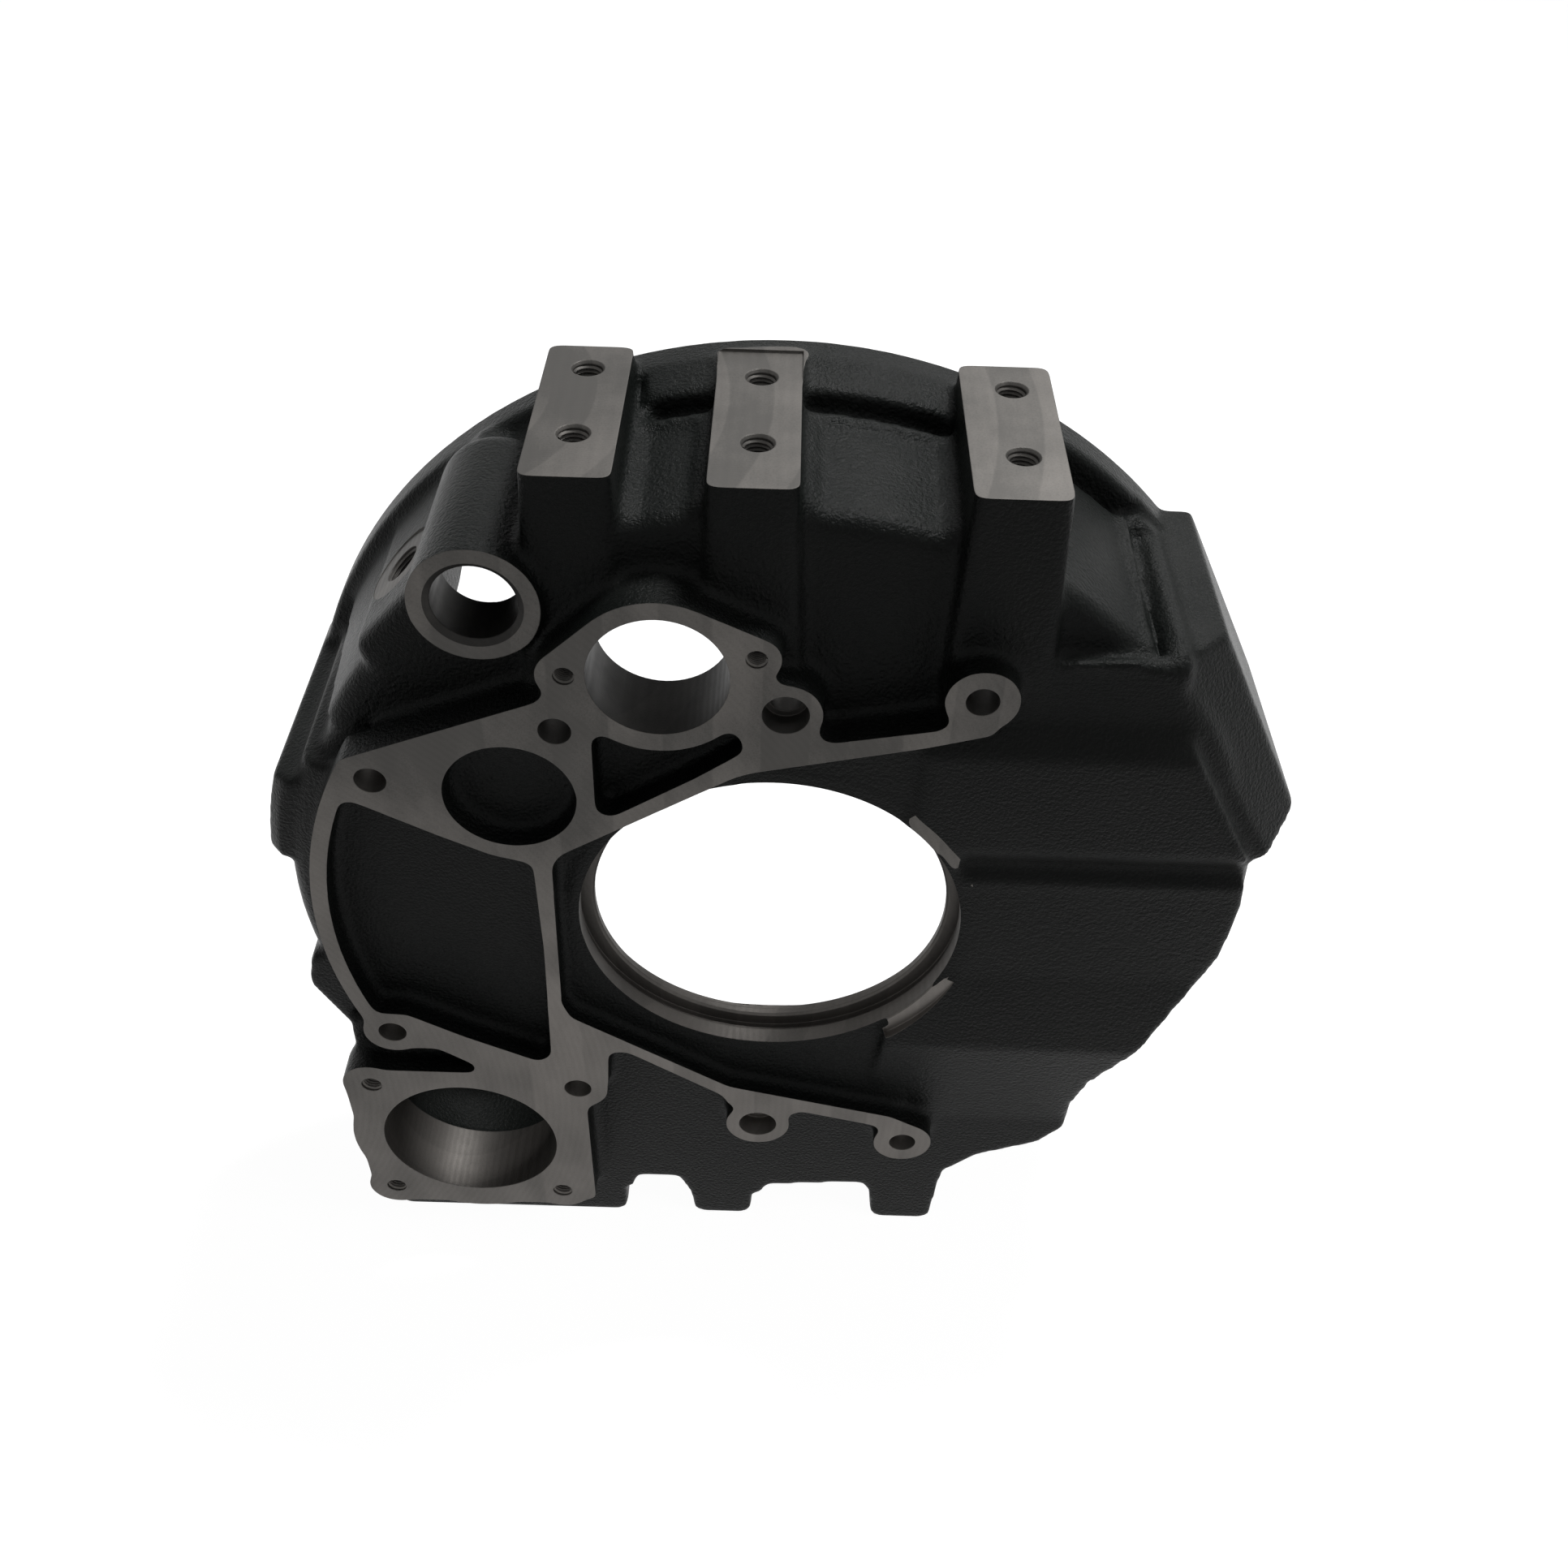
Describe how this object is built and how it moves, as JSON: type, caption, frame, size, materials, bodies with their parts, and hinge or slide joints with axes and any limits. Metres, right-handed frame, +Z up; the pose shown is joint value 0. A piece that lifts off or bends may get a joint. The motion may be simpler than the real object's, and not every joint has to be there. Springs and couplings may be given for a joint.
{
  "type": "flywheel housing",
  "caption": "Cast iron bell that joins an engine to its gearbox, with a milled engine face, bolt flange, starter bore, crank bore and milled top pads.",
  "frame": {"origin": "centre of the rear flange bolt circle, on the rear flange face and the crank axis", "axes": "+Y out of the rear flange towards the gearbox, +Z up to the top pads, +X to the right as seen from the engine"},
  "size_m": [0.4551, 0.13, 0.4724],
  "materials": {
    "housing": "cast iron painted satin black, milled faces and bores bare"
  },
  "bodies": {
    "root": {"housing": "housing"}
  },
  "joints": []
}
